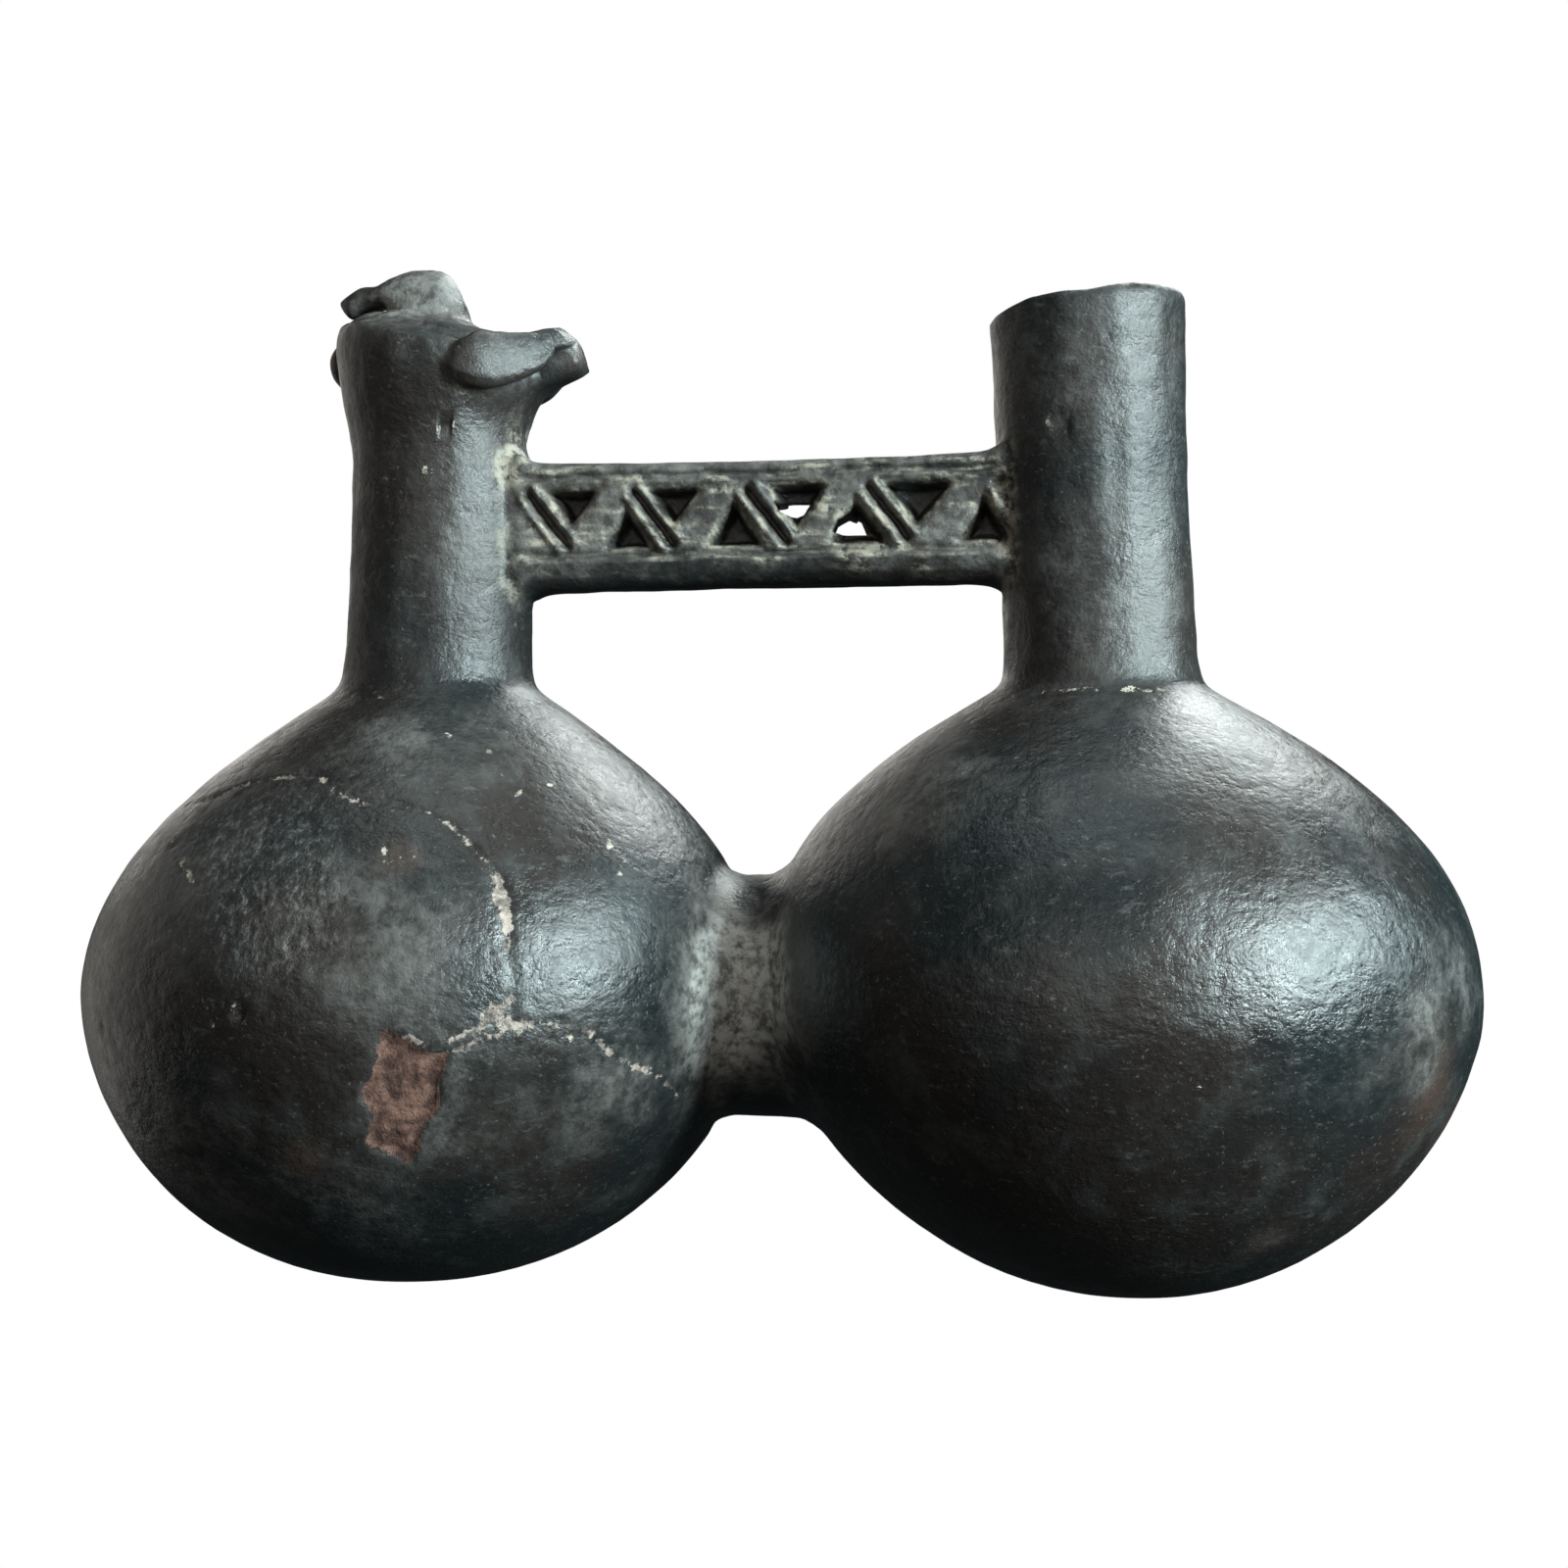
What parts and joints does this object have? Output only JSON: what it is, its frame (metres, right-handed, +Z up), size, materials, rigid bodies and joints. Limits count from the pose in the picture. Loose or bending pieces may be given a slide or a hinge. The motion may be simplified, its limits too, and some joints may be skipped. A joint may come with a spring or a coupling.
{
  "type": "double-chambered vessel with bird and openwork bridge handle",
  "caption": "Black fired-clay vessel of two joined round bottles: one closed by a bird, one an open spout, with a pierced bridge handle between the necks.",
  "frame": {"origin": "on the ground, under the middle of the vessel's width and depth", "axes": "+X from the bird to the open spout, +Y from the pictured front to the back, +Z up"},
  "size_m": [0.2266, 0.114, 0.1654],
  "materials": {
    "black_fired_clay": "burnished black reduction-fired clay, worn and cracked, with pale earth in the recesses"
  },
  "bodies": {
    "root": {"vessel": "black_fired_clay"}
  },
  "joints": []
}
